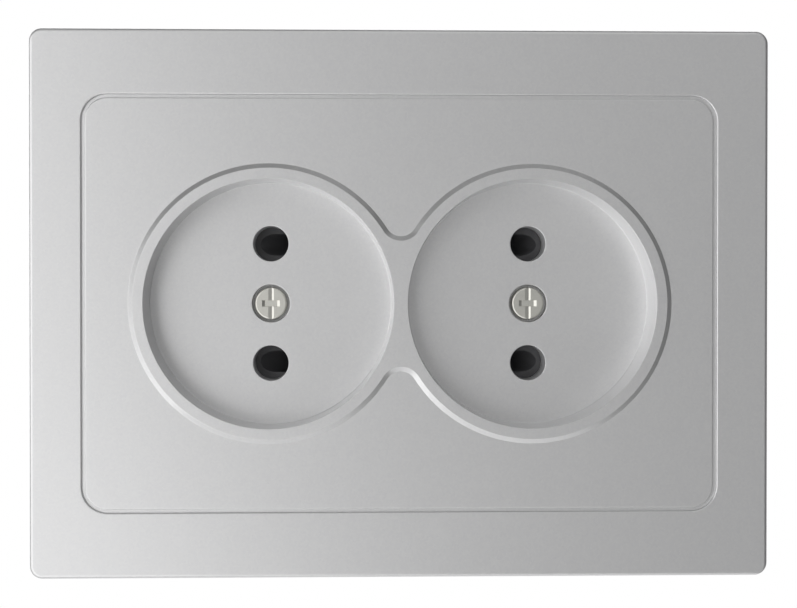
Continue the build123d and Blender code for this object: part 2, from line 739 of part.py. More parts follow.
# Square nuts behind the claws' feet
with BuildPart() as upper_claw_nut:
    with BuildSketch(level(claw_back_level - nut_gap)):
        with Locations((claw_x, claw_z)):
            Rectangle(nut_size, nut_size)
            Circle(claw_screw_thread / 2 + thread_fit, mode=Mode.SUBTRACT)
    extrude(amount=-nut_thickness)
finish(upper_claw_nut, "upper_claw_nut")

with BuildPart() as lower_claw_nut:
    add(upper_claw_nut.part.rotate(Axis.Y, 180))
finish(lower_claw_nut, "lower_claw_nut")

# Claw screws, turned from the room side of the support plate
with BuildPart() as claw_screws:
    with BuildSketch(level(support_thickness)):
        with Locations((claw_x, claw_z), (-claw_x, -claw_z)):
            Circle(claw_screw_head / 2)
    extrude(amount=claw_head_height)
    with BuildSketch(level(support_thickness + claw_head_height)):
        with Locations((claw_x, claw_z), (-claw_x, -claw_z)):
            Rectangle(claw_screw_head, cover_slot_width)
    extrude(amount=-cover_slot_depth, mode=Mode.SUBTRACT)
    with BuildSketch(level(support_thickness)):
        with Locations((claw_x, claw_z), (-claw_x, -claw_z)):
            Circle(claw_screw_thread / 2)
    extrude(amount=-claw_screw_length)
finish(claw_screws, "claw_screws")
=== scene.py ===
import math
import bmesh
import bpy
from mathutils import Matrix, Vector


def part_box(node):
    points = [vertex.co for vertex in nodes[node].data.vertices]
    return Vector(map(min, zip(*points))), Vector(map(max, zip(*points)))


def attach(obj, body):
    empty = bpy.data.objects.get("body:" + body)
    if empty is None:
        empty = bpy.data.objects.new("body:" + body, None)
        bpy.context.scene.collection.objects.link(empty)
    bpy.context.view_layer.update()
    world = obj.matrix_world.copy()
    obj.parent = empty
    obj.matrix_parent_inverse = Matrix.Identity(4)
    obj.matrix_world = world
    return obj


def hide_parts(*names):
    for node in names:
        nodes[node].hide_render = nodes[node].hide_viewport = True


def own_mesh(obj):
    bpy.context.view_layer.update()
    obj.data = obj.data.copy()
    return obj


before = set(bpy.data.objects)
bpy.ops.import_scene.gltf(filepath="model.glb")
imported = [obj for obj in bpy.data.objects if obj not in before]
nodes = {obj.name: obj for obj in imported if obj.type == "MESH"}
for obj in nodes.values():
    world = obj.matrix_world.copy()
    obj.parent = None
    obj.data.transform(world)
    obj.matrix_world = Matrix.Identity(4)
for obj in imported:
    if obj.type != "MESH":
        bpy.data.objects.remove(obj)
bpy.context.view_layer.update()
mm = 0.001
scene = bpy.context.scene
scene.view_settings.view_transform = "Standard"
scene.cycles.blur_glossy = 0.0  # the paint keeps its gloss where one wall lights the next
print("frame loaded:", len(nodes), "CAD nodes")

# The face looks along -Y. A level is a height above the wall in millimetres, so y = -level.


def hexColour(code):
    parts = [int(code[i:i + 2], 16) / 255 for i in (0, 2, 4)]
    linear = [c / 12.92 if c <= 0.04045 else ((c + 0.055) / 1.055) ** 2.4 for c in parts]
    return (*linear, 1.0)


def addNode(tree, kind, settings=None, links=None):
    node = tree.nodes.new(kind)
    for key, value in (settings or {}).items():
        if isinstance(key, int) or key in node.inputs:
            node.inputs[key].default_value = value
        else:
            setattr(node, key, value)
    for key, source in (links or {}).items():
        tree.links.new(source, node.inputs[key])
    return node


# Camera: where the photograph was taken from, in millimetres
view = dict(place=(-7.63, -251.75, 2.53), target=(-0.38, -10.0, -0.03), lens=70.3, sensor=36.0,
            clipStart=10.0)

cameraData = bpy.data.cameras.new("camera")
cameraData.lens = view["lens"]
cameraData.sensor_width = view["sensor"]
cameraData.clip_start = view["clipStart"] * mm
camera = bpy.data.objects.new("camera", cameraData)
camera.location = Vector(view["place"]) * mm
lookAlong = Vector(view["target"]) - Vector(view["place"])
camera.rotation_euler = lookAlong.to_track_quat("-Z", "Y").to_euler()
scene.collection.objects.link(camera)
scene.camera = camera
print("camera placed")


# Materials

def newMaterial(name):
    material = bpy.data.materials.new(name)
    material.use_nodes = True
    material.node_tree.nodes.clear()
    tree = material.node_tree
    shader = addNode(tree, "ShaderNodeBsdfPrincipled")
    addNode(tree, "ShaderNodeOutputMaterial", links={"Surface": shader.outputs["BSDF"]})
    coords = addNode(tree, "ShaderNodeTexCoord").outputs["Object"]
    return material, tree, shader, coords


def perMetre(size):
    # texture scale for a feature of that many millimetres
    return 1.0 / (size * mm)


# Satin silver paint sprayed on moulded ABS: an even soft sheen, fine aluminium flakes that
# only just sparkle and a faint orange peel from the spray gun. Real flakes are too fine to
# show, so they are drawn about ten times coarser. Down the holes the grey ABS stays bare.
paint = dict(colour="DDDDDD", dark="D8D8D9", metallic=0.78, roughness=0.37, glossSpread=0.03,
             coat=0.4, coatRoughness=0.3, bareColour="CBCBCC", bareMetallic=0.1,
             flake=0.35, flakeBump=0.03, flakeDepth=0.1, peel=2.2, peelBump=0.012, peelDepth=1.0)
silverPaint, tree, shader, coords = newMaterial("silver_paint_sprayed_on_moulded_abs")
flakes = addNode(tree, "ShaderNodeTexVoronoi", {"Scale": perMetre(paint["flake"])}, {"Vector": coords})
peel = addNode(tree, "ShaderNodeTexNoise", {"Scale": perMetre(paint["peel"]), "Detail": 1.0},
               {"Vector": coords})
flakeGrey = addNode(tree, "ShaderNodeRGBToBW", links={"Color": flakes.outputs["Color"]})
tint = addNode(tree, "ShaderNodeMix", {"data_type": "RGBA", 6: hexColour(paint["dark"]),
                                       7: hexColour(paint["colour"])}, {0: flakeGrey.outputs["Val"]})
gloss = addNode(tree, "ShaderNodeMapRange", {"To Min": paint["roughness"] - paint["glossSpread"],
                                             "To Max": paint["roughness"] + paint["glossSpread"]},
                {"Value": flakeGrey.outputs["Val"]})
bare = addNode(tree, "ShaderNodeAttribute", {"attribute_name": "bare"})
skin = addNode(tree, "ShaderNodeMix", {"data_type": "RGBA", 7: hexColour(paint["bareColour"])},
               {0: bare.outputs["Fac"], 6: tint.outputs[2]})
metal = addNode(tree, "ShaderNodeMapRange", {"To Min": paint["metallic"], "To Max": paint["bareMetallic"]},
                {"Value": bare.outputs["Fac"]})
peelBump = addNode(tree, "ShaderNodeBump",
                   {"Strength": paint["peelBump"], "Distance": paint["peelDepth"] * mm},
                   {"Height": peel.outputs["Fac"]})
flakeBump = addNode(tree, "ShaderNodeBump",
                    {"Strength": paint["flakeBump"], "Distance": paint["flakeDepth"] * mm},
                    {"Height": flakeGrey.outputs["Val"], "Normal": peelBump.outputs["Normal"]})
shader.inputs["Coat Weight"].default_value = paint["coat"]
shader.inputs["Coat Roughness"].default_value = paint["coatRoughness"]
for socket, source in (("Base Color", skin.outputs[2]), ("Metallic", metal.outputs[0]),
                       ("Roughness", gloss.outputs[0]), ("Normal", flakeBump.outputs["Normal"])):
    tree.links.new(source, shader.inputs[socket])

# The remaining finishes differ in colour, gloss and grain only: a fine noise breaks up the
# colour and the gloss, and the same noise, stretched along the rolling direction, gives the
# surface its grain
finishes = {
    # deep grey-black with a dull, slightly uneven gloss
    "black_polyamide_moulded_matt": dict(
        slot="black_plastic", colour="5A5A5C", dark="505052", metallic=0.0, roughness=0.42, grain=0.25,
        stretch=(1, 1, 1), bump=0.05),
    # mid grey, matt, with the fine texture of its mould
    "grey_polycarbonate_moulded_matt": dict(
        slot="carrier_plastic", colour="A3A5A7", dark="999B9D", metallic=0.0, roughness=0.5, grain=0.4,
        stretch=(1, 1, 1), bump=0.05),
    # warm off-white, a little cloudy, with a soft gloss from the pressing
    "ivory_urea_resin_pressed": dict(
        slot="base_plastic", colour="E2E0D6", dark="D5D2C6", metallic=0.0, roughness=0.38, grain=0.8,
        stretch=(1, 1, 1), bump=0.03),
    # warm white metal, silky, almost without grain
    "nickel_plate_on_turned_steel": dict(
        slot="screw_steel", colour="DAD9D2", dark="D4D3CC", metallic=1.0, roughness=0.36, grain=0.2,
        stretch=(1, 1, 1), bump=0.006),
    # cool grey metal with long faint streaks from the rolls
    "zinc_plate_on_rolled_steel": dict(
        slot="sheet_steel", colour="B9BCBE", dark="A6A9AB", metallic=1.0, roughness=0.36, grain=0.3,
        stretch=(0.08, 1, 1), bump=0.05),
    # darker grey metal, fairly bright from the drawing die
    "drawn_spring_wire": dict(
        slot="spring_steel", colour="8C8C8C", dark="7B7B7B", metallic=1.0, roughness=0.32, grain=0.1,
        stretch=(1, 1, 1), bump=0.05),
    # yellow metal, bright, with long faint streaks from the rolls
    "brass_rolled_strip": dict(
        slot="brass", colour="CDA75A", dark="B98F45", metallic=1.0, roughness=0.3, grain=0.25,
        stretch=(0.08, 1, 1), bump=0.05),
}
grainLook = dict(glossSpread=0.06, detail=3.0, depth=0.1)
materials = {"silver_paint": silverPaint}
for name, finish in finishes.items():
    material, tree, shader, coords = newMaterial(name)
    mapping = addNode(tree, "ShaderNodeMapping", {"Scale": finish["stretch"]}, {"Vector": coords})
    grain = addNode(tree, "ShaderNodeTexNoise",
                    {"Scale": perMetre(finish["grain"]), "Detail": grainLook["detail"]},
                    {"Vector": mapping.outputs["Vector"]})
    tint = addNode(tree, "ShaderNodeMix", {"data_type": "RGBA", 6: hexColour(finish["dark"]),
                                           7: hexColour(finish["colour"])}, {0: grain.outputs["Fac"]})
    gloss = addNode(tree, "ShaderNodeMapRange", {"To Min": finish["roughness"] - grainLook["glossSpread"],
                                                 "To Max": finish["roughness"] + grainLook["glossSpread"]},
                    {"Value": grain.outputs["Fac"]})
    bump = addNode(tree, "ShaderNodeBump",
                   {"Strength": finish["bump"], "Distance": grainLook["depth"] * mm},
                   {"Height": grain.outputs["Fac"]})
    shader.inputs["Metallic"].default_value = finish["metallic"]
    for socket, source in (("Base Color", tint.outputs[2]), ("Roughness", gloss.outputs[0]),
                           ("Normal", bump.outputs["Normal"])):
        tree.links.new(source, shader.inputs[socket])
    materials[finish["slot"]] = material
print("materials made:", len(materials))


# Modelling steps shared by the pieces
smoothAngle = math.radians(32)    # faces that meet at less than this are shaded as one
softenAngle = math.radians(40)    # edges that bend more than this are softened
flatAngle = math.radians(0.5)     # CAD triangles that meet at less than this are one flat
weld = 0.001 * mm                 # points closer than this are one


def wireChain(bm, corners, place):
    # an open wire through the corners (across, level, rounding, segments), with its corners rounded
    verts = [bm.verts.new(place(corner[0], corner[1])) for corner in corners]
    for pair in zip(verts, verts[1:]):
        bm.edges.new(pair)
    for vert, corner in zip(verts, corners):
        if len(corner) > 2:
            bmesh.ops.bevel(bm, geom=[vert], offset=corner[2] * mm, offset_type="OFFSET",
                            segments=corner[3], profile=0.5, affect="VERTICES", material=-1)
    wires = [edge for edge in bm.edges if not edge.link_faces]
    return wires + list({vert for edge in wires for vert in edge.verts})


def spinRound(bm, geom, x, z, angle, steps):
    return bmesh.ops.spin(bm, geom=geom, cent=(x * mm, 0, z * mm), axis=(0, 1, 0), angle=angle,
                          steps=steps, use_merge=angle == math.tau)["geom_last"]


def turned(bm, corners, x, z, steps):
    # a full turn of a section about the axis through (x, z)
    geom = wireChain(bm, corners, lambda across, level: Vector((x + across, -level, z)) * mm)
    spinRound(bm, geom, x, z, math.tau, steps)


def swept(bm, corners, cornerX, cornerZ, steps):
    # a section carried round a rectangle, across measured outwards from the corners' centres
    geom = wireChain(bm, corners, lambda across, level: Vector((cornerX, -level, cornerZ + across)) * mm)
    for x, z, run in ((cornerX, cornerZ, (0, 0, -2 * cornerZ)), (cornerX, -cornerZ, (-2 * cornerX, 0, 0)),
                      (-cornerX, -cornerZ, (0, 0, 2 * cornerZ)), (-cornerX, cornerZ, (2 * cornerX, 0, 0))):
        geom = spinRound(bm, geom, x, z, math.pi / 2, steps)
        edges = [item for item in geom if isinstance(item, bmesh.types.BMEdge)]
        geom = bmesh.ops.extrude_edge_only(bm, edges=edges)["geom"]
        geom = [item for item in geom if not isinstance(item, bmesh.types.BMFace)]
        verts = [item for item in geom if isinstance(item, bmesh.types.BMVert)]
        bmesh.ops.translate(bm, verts=verts, vec=Vector(run) * mm)
    bmesh.ops.remove_doubles(bm, verts=bm.verts, dist=weld)


def fillFlat(bm, level, side=0):
    # closes the flat between the open loops at a level, on one side of the middle or on both
    edges = [edge for edge in bm.edges if edge.is_boundary
             and all(abs(vert.co.y + level * mm) < weld and vert.co.x * side >= 0 for vert in edge.verts)]
    bmesh.ops.triangle_fill(bm, use_beauty=True, edges=edges, normal=(0, -1, 0))


def newPiece(name, bm, body, slot, replaced):
    bmesh.ops.remove_doubles(bm, verts=bm.verts, dist=weld)
    bmesh.ops.recalc_face_normals(bm, faces=bm.faces)
    for face in bm.faces:
        face.smooth = True
    mesh = bpy.data.meshes.new(name)
    bm.to_mesh(mesh)
    bm.free()
    mesh.set_sharp_from_angle(angle=smoothAngle)
    mesh.materials.append(materials[slot])
    piece = bpy.data.objects.new(name, mesh)
    scene.collection.objects.link(piece)
    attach(piece, body)
    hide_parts(replaced)
    return piece


def combine(piece, bm, operation):
    # joins a second solid to a piece, or cuts it out of it, for good
    bmesh.ops.recalc_face_normals(bm, faces=bm.faces)
    mesh = bpy.data.meshes.new("tool")
    bm.to_mesh(mesh)
    bm.free()
    tool = bpy.data.objects.new("tool", mesh)
    scene.collection.objects.link(tool)
    step = piece.modifiers.new("combine", "BOOLEAN")
    step.object = tool
    step.operation = operation
    step.solver = "EXACT"
    bpy.context.view_layer.update()
    result = bpy.data.meshes.new_from_object(piece.evaluated_get(bpy.context.evaluated_depsgraph_get()))
    piece.modifiers.remove(step)
    piece.data = result
    bpy.data.objects.remove(tool)
    result.set_sharp_from_angle(angle=smoothAngle)


def evenNormals(piece, angle=smoothAngle):
    # large flats keep their own direction, so the small rounds carry the whole bend
    mesh = piece.data
    around = [[] for vert in mesh.vertices]
    for face in mesh.polygons:
        for vert in face.vertices:
            around[vert].append((face.normal.copy(), (face.area / mm ** 2) ** 2))
    directions = []
    for face in mesh.polygons:
        for vert in face.vertices:
            total = Vector((0, 0, 0))
            for normal, weight in around[vert]:
                if normal.dot(face.normal) > math.cos(angle):
                    total += normal * weight
            directions.append(total.normalized())
    mesh.normals_split_custom_set(directions)


def addBox(bm, centre, size):
    # centre and size are (x, level, z)
    x, level, z = centre
    place = Matrix.Translation(Vector((x, -level, z)) * mm) @ Matrix.Diagonal((*(s * mm for s in size), 1))
    return bmesh.ops.create_cube(bm, size=1, matrix=place)["verts"]


def cadCopy(name):
    # a CAD node's mesh, merged, with its coplanar triangles joined
    bm = bmesh.new()
    bm.from_mesh(nodes[name].data)
    bmesh.ops.remove_doubles(bm, verts=bm.verts, dist=weld / 2)
    bmesh.ops.dissolve_limit(bm, angle_limit=flatAngle, verts=bm.verts, edges=bm.edges)
    return bm


def soften(piece, edge):
    bevel = piece.modifiers.new("softened edges", "BEVEL")
    bevel.width = edge * mm
    bevel.segments = 2
    bevel.limit_method = "ANGLE"
    bevel.angle_limit = softenAngle
    bevel.harden_normals = True


# Outer frame: hollow moulding with a ledge round its window. A run is how far a section goes on
# into the flat that closes it.
low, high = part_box("outer_frame")
outer = dict(halfWidth=high.x / mm, halfHeight=high.z / mm, face=-low.y / mm, corner=2.0, edge=0.6,
             faceRun=1.1, backEdge=0.15, backRun=1.55, cornerSteps=12,
             wall=2.0, underFace=8.0, pocketCorner=0.8, pocketEdge=0.12, pocketFillet=0.3,
             pocketRimRun=0.3, pocketFloorRun=0.6, pocketSteps=6,
             windowHalfWidth=49.42, windowHalfHeight=32.44, windowCorner=4.0, windowEdge=0.2,
             windowRun=0.7, ledge=7.5, ledgeWidth=2.2, ledgeRound=0.1, ledgeBack=5.7, ledgeBackEdge=0.15,
             stepWall=1.5, stepFillet=0.2, stepRun=0.4,
             ribThickness=1.0, ribPitch=24.0, ribBack=5.9, ribSink=0.5, ribOverlap=0.3)
bm = bmesh.new()
cornerX = outer["halfWidth"] - outer["corner"]
cornerZ = outer["halfHeight"] - outer["corner"]
swept(bm, [
    (outer["corner"] - outer["faceRun"], outer["face"]),
    (outer["corner"], outer["face"], outer["edge"], 8),
    (outer["corner"], 0, outer["backEdge"], 3),
    (outer["corner"] - outer["backRun"], 0),
], cornerX, cornerZ, outer["cornerSteps"])
pocketX = outer["halfWidth"] - outer["wall"] - outer["pocketCorner"]
pocketZ = outer["halfHeight"] - outer["wall"] - outer["pocketCorner"]
swept(bm, [
    (outer["pocketCorner"] + outer["pocketRimRun"], 0),
    (outer["pocketCorner"], 0, outer["pocketEdge"], 2),
    (outer["pocketCorner"], outer["underFace"], outer["pocketFillet"], 3),
    (outer["pocketCorner"] - outer["pocketFloorRun"], outer["underFace"]),
], pocketX, pocketZ, outer["pocketSteps"])
windowX = outer["windowHalfWidth"] - outer["windowCorner"]
windowZ = outer["windowHalfHeight"] - outer["windowCorner"]
ledgeCorner = outer["windowCorner"] - outer["ledgeWidth"]
stepCorner = outer["windowCorner"] + outer["stepWall"]
swept(bm, [
    (outer["windowCorner"] + outer["windowRun"], outer["face"]),
    (outer["windowCorner"], outer["face"], outer["windowEdge"], 5),
    (outer["windowCorner"], outer["ledge"], outer["ledgeRound"], 2),
    (ledgeCorner, outer["ledge"], outer["ledgeRound"], 2),
    (ledgeCorner, outer["ledgeBack"], outer["ledgeBackEdge"], 2),
    (stepCorner, outer["ledgeBack"], outer["ledgeBackEdge"], 2),
    (stepCorner, outer["underFace"], outer["stepFillet"], 2),
    (stepCorner + outer["stepRun"], outer["underFace"]),
], windowX, windowZ, outer["cornerSteps"])
for level in (outer["face"], 0, outer["underFace"]):
    fillFlat(bm, level)
frameBody = newPiece("outer_frame_moulding", bm, "socket", "silver_paint", "outer_frame")

# ribs under the face, from the outer wall to the window's step, sunk into all three
bm = bmesh.new()
ribDepth = outer["underFace"] + outer["ribSink"] - outer["ribBack"]
ribLevel = outer["ribBack"] + ribDepth / 2
ribInnerX = outer["windowHalfWidth"] + outer["stepWall"]
ribInnerZ = outer["windowHalfHeight"] + outer["stepWall"]
ribRunX = outer["halfWidth"] - outer["wall"] - ribInnerX + 2 * outer["ribOverlap"]
ribRunZ = outer["halfHeight"] - outer["wall"] - ribInnerZ + 2 * outer["ribOverlap"]
for sign in (-1, 1):
    for step in (-1.5, -0.5, 0.5, 1.5):
        ribZ = sign * (ribInnerZ - outer["ribOverlap"] + ribRunZ / 2)
        addBox(bm, (step * outer["ribPitch"], ribLevel, ribZ), (outer["ribThickness"], ribDepth, ribRunZ))
    for step in (-1, 0, 1):
        ribX = sign * (ribInnerX - outer["ribOverlap"] + ribRunX / 2)
        addBox(bm, (ribX, ribLevel, step * outer["ribPitch"]), (ribRunX, ribDepth, outer["ribThickness"]))
combine(frameBody, bm, "UNION")
evenNormals(frameBody)
print("outer frame:", len(frameBody.data.polygons), "faces")

# Front plate: rim with its groove, figure-eight collar, two dishes, pin tubes and screw bosses
low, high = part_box("front_plate")
plate = dict(fit=0.015, face=10.0, edge=0.2, faceRun=0.8,
             grooveWidth=0.54, grooveFloor=9.55, grooveRound=0.08, ledge=7.5, ledgeEnd=0.1,
             skirtGap=0.2, skirtDepth=3.0, skirtWall=1.5, skirtFillet=0.1, skirtEdge=0.2,
             socketX=20.5, pinZ=9.5, dishRadius=19.4, dishFloor=3.6, dishDraft=0.2, dishSteps=144,
             rimRound=0.06, rimRun=0.55, floorRound=0.12, floorRun=0.5,
             collarTop=-low.y / mm, collarFoot=21.78, collarSlope=0.74, collarRound=0.03,
             collarFootRun=0.35, collarTopRun=0.5, collarSteps=108, crotch=2.5, crotchSteps=24,
             pinHole=2.8, tubeWall=1.25, tubeEnd=-2.2, tubeEdge=0.15, recess=3.0, recessFillet=0.12,
             threadHole=1.7, bossWall=1.8, holeEdge=0.1, holeSteps=64, mouthRound=0.12, mouthRun=0.15,
             rootFillet=0.2, rootRun=0.4, bareFrom=2.9, bareMargin=0.01,
             bowlBack=1.6, bowlWall=1.8, bowlChamfer=2.14, bowlRound=0.4, bowlBackRun=0.6,
             bowlFillet=0.3, bowlTopRun=0.5,
             postZ=9.0, postRadius=3.0, postEnd=-high.y / mm, postSink=0.6, postSteps=48)
bm = bmesh.new()
landAcross = outer["windowCorner"] - plate["fit"]
edgeAcross = outer["windowCorner"] - plate["grooveWidth"]
skirtAcross = ledgeCorner - plate["skirtGap"]
skirtEnd = plate["ledge"] - plate["skirtDepth"]
swept(bm, [
    (edgeAcross - plate["faceRun"], plate["face"]),
    (edgeAcross, plate["face"], plate["edge"], 5),
    (edgeAcross, plate["grooveFloor"], plate["grooveRound"], 2),
    (landAcross, plate["grooveFloor"]),
    (landAcross, plate["ledge"], plate["grooveRound"], 2),
    (skirtAcross, plate["ledge"], plate["skirtFillet"], 2),
    (skirtAcross, skirtEnd, plate["skirtEdge"], 2),
    (skirtAcross - plate["skirtWall"], skirtEnd, plate["skirtEdge"], 2),
    (skirtAcross - plate["skirtWall"], plate["ledge"], plate["skirtEdge"], 2),
    (plate["ledgeEnd"], plate["ledge"]),
], windowX, windowZ, outer["cornerSteps"])

# the collar's section goes round one dish, back round the crotch, round the other dish and back again
foot = plate["collarFoot"]
shoulder = foot - plate["collarSlope"]
crotchZ = math.sqrt((foot + plate["crotch"]) ** 2 - plate["socketX"] ** 2)
lean = math.atan2(crotchZ, plate["socketX"])
outwards = Vector((math.cos(lean), 0, math.sin(lean)))
geom = wireChain(bm, [
    (foot + plate["collarFootRun"], plate["face"]),
    (foot, plate["face"], plate["collarRound"], 2),
    (shoulder, plate["collarTop"], plate["collarRound"], 2),
    (shoulder - plate["collarTopRun"], plate["collarTop"]),
], lambda across, level: (Vector((-plate["socketX"], -level, 0)) + outwards * across) * mm)
for x, sign in ((-plate["socketX"], 1), (plate["socketX"], -1)):
    geom = spinRound(bm, geom, x, 0, 2 * lean - math.tau, plate["collarSteps"])
    geom = spinRound(bm, geom, 0, -sign * crotchZ, math.pi - 2 * lean, plate["crotchSteps"])
bmesh.ops.remove_doubles(bm, verts=bm.verts, dist=weld)

floorRadius = plate["dishRadius"] - plate["dishDraft"]
mouth = plate["mouthRound"] + plate["mouthRun"]
tube = plate["pinHole"] + plate["tubeWall"]
boss = plate["threadHole"] + plate["bossWall"]
for x in (-plate["socketX"], plate["socketX"]):
    turned(bm, [
        (plate["dishRadius"] + plate["rimRun"], plate["collarTop"]),
        (plate["dishRadius"], plate["collarTop"], plate["rimRound"], 3),
        (floorRadius, plate["dishFloor"], plate["floorRound"], 3),
        (floorRadius - plate["floorRound"] - plate["floorRun"], plate["dishFloor"]),
    ], x, 0, plate["dishSteps"])
    for z in (-plate["pinZ"], plate["pinZ"]):
        turned(bm, [
            (plate["pinHole"] + mouth, plate["dishFloor"]),
            (plate["pinHole"], plate["dishFloor"], plate["mouthRound"], 5),
            (plate["pinHole"], plate["bareFrom"]),
            (plate["pinHole"], plate["tubeEnd"], plate["holeEdge"], 2),
            (tube, plate["tubeEnd"], plate["tubeEdge"], 2),
            (tube, plate["bowlBack"], plate["rootFillet"], 2),
            (tube + plate["rootRun"], plate["bowlBack"]),
        ], x, z, plate["holeSteps"])
    turned(bm, [
        (plate["recess"] + mouth, plate["dishFloor"]),
        (plate["recess"], plate["dishFloor"], plate["mouthRound"], 5),
        (plate["recess"], plate["bareFrom"]),
        (plate["recess"], plate["bowlBack"], plate["recessFillet"], 2),
        (plate["threadHole"], plate["bowlBack"], plate["holeEdge"], 2),
        (plate["threadHole"], plate["tubeEnd"], plate["holeEdge"], 2),
        (boss, plate["tubeEnd"], plate["tubeEdge"], 2),
        (boss, plate["bowlBack"], plate["rootFillet"], 2),
        (boss + plate["rootRun"], plate["bowlBack"]),
    ], x, 0, plate["holeSteps"])

# the bowls' backs run into each other in the middle, so one is cut there and mirrored
bowlBm = bmesh.new()
bowlFoot = plate["dishRadius"] + plate["bowlWall"] - plate["dishDraft"]
bowlLean = plate["dishDraft"] / (plate["grooveFloor"] - plate["bowlBack"])
bowlTop = bowlFoot + bowlLean * (plate["ledge"] - plate["bowlBack"])
chamfer = plate["bowlChamfer"]
turned(bowlBm, [
    (bowlFoot - chamfer - plate["bowlBackRun"], plate["bowlBack"]),
    (bowlFoot - chamfer, plate["bowlBack"], plate["bowlRound"], 3),
    (bowlFoot + bowlLean * chamfer, plate["bowlBack"] + chamfer, plate["bowlRound"], 3),
    (bowlTop, plate["ledge"], plate["bowlFillet"], 3),
    (bowlTop + plate["bowlTopRun"], plate["ledge"]),
], -plate["socketX"], 0, plate["dishSteps"])
bmesh.ops.bisect_plane(bowlBm, geom=bowlBm.verts[:] + bowlBm.edges[:] + bowlBm.faces[:], dist=weld / 2,
                       plane_co=(0, 0, 0), plane_no=(1, 0, 0), clear_outer=True)
bmesh.ops.mirror(bowlBm, geom=bowlBm.verts[:] + bowlBm.edges[:] + bowlBm.faces[:], axis="X",
                 merge_dist=2 * weld)
bowlMesh = bpy.data.meshes.new("bowls")
bowlBm.to_mesh(bowlMesh)
bowlBm.free()
bm.from_mesh(bowlMesh)
bpy.data.meshes.remove(bowlMesh)
for level in (plate["face"], plate["collarTop"], plate["ledge"]):
    fillFlat(bm, level)
for side in (-1, 1):
    fillFlat(bm, plate["dishFloor"], side)
    fillFlat(bm, plate["bowlBack"], side)

# the spray doesn't reach down the holes and behind the plate
bareLayer = bm.verts.layers.float.new("bare")
for vert in bm.verts:
    vert[bareLayer] = 1.0 if vert.co.y > -(plate["bareFrom"] + plate["bareMargin"]) * mm else 0.0
plateBody = newPiece("front_plate_moulding", bm, "socket", "silver_paint", "front_plate")

# two posts behind the face for the carrier's screws
bm = bmesh.new()
postDepth = plate["grooveFloor"] - plate["postSink"] - plate["postEnd"]
for z in (-plate["postZ"], plate["postZ"]):
    place = Matrix.Translation(Vector((0, -plate["postEnd"] - postDepth / 2, z)) * mm)
    bmesh.ops.create_cone(bm, cap_ends=True, segments=plate["postSteps"], radius1=plate["postRadius"] * mm,
                          radius2=plate["postRadius"] * mm, depth=postDepth * mm,
                          matrix=place @ Matrix.Rotation(math.pi / 2, 4, "X"))
combine(plateBody, bm, "UNION")
evenNormals(plateBody)
print("front plate:", len(plateBody.data.polygons), "faces")

# Cover screws: pan heads with an upright slot, crossed in the middle by a wider recess with sloping ends
low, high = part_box("cover_screws")
screw = dict(x=20.5, top=-low.y / mm, end=-high.y / mm, headRadius=2.57, headEdge=0.3, seat=1.6,
             seatRound=0.1, shank=1.45, tipRound=0.4, steps=64, smoothDegrees=11)
recesses = {
    "slot": dict(width=1.03, floor=0.04, shift=0.15, height=6.0, depth=0.12),
    "cross": dict(width=2.94, floor=1.94, shift=0.0, height=1.0, depth=0.2),
}
cutter = dict(above=0.02, taper=0.94)    # starts this far above the head, its floor is this much shorter
bm = bmesh.new()
for x in (-screw["x"], screw["x"]):
    turned(bm, [
        (0, screw["top"]),
        (screw["headRadius"], screw["top"], screw["headEdge"], 10),
        (screw["headRadius"], screw["seat"], screw["seatRound"], 2),
        (screw["shank"], screw["seat"], screw["seatRound"], 2),
        (screw["shank"], screw["end"], screw["tipRound"], 2),
        (0, screw["end"]),
    ], x, 0, screw["steps"])
screws = newPiece("cover_screws_turned", bm, "socket", "screw_steel", "cover_screws")
for recess in recesses.values():
    bm = bmesh.new()
    depth = recess["depth"]
    for x in (-screw["x"], screw["x"]):
        verts = addBox(bm, (x, screw["top"] + (cutter["above"] - depth) / 2, 0),
                       (recess["width"], depth + cutter["above"], recess["height"]))
        lower = [vert for vert in verts if vert.co.y > -(screw["top"] - depth / 2) * mm]
        bmesh.ops.scale(bm, verts=lower, vec=(recess["floor"] / recess["width"], 1, cutter["taper"]),
                        space=Matrix.Translation((-x * mm, 0, 0)))
        bmesh.ops.translate(bm, verts=lower, vec=(recess["shift"] * mm, 0, 0))
    combine(screws, bm, "DIFFERENCE")
evenNormals(screws, math.radians(screw["smoothDegrees"]))
print("cover screws:", len(screws.data.polygons), "faces")

# Shutter springs: closed coils of round wire, squeezed by their shutters
spring = dict(wire=0.2, sides=8, radius=1.8, level=-4.8, seatX=17.3, endGap=0.3, length=9.3, turns=6,
              stepsPerTurn=24, travel=5.5)
for sideName, sign in (("left", -1), ("right", 1)):
    bm = bmesh.new()
    startX = sign * (spring["seatX"] - spring["endGap"])
    place = Matrix.Translation(Vector((startX, -spring["level"], spring["radius"])) * mm)
    bmesh.ops.create_circle(bm, cap_ends=True, segments=spring["sides"], radius=spring["wire"] * mm,
                            matrix=place @ Matrix.Rotation(math.pi / 2, 4, "X"))
    steps = spring["turns"] * spring["stepsPerTurn"]
    advance = -sign * (spring["length"] - 2 * spring["endGap"]) / steps
    bmesh.ops.spin(bm, geom=bm.verts[:] + bm.edges[:] + bm.faces[:], steps=steps,
                   cent=(0, -spring["level"] * mm, 0), axis=(1, 0, 0), dvec=(advance * mm, 0, 0),
                   angle=math.tau * spring["turns"])
    coil = newPiece(sideName + "_shutter_spring_coil", bm, "socket", "spring_steel",
                    sideName + "_shutter_spring")
    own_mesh(coil)
print("springs made")

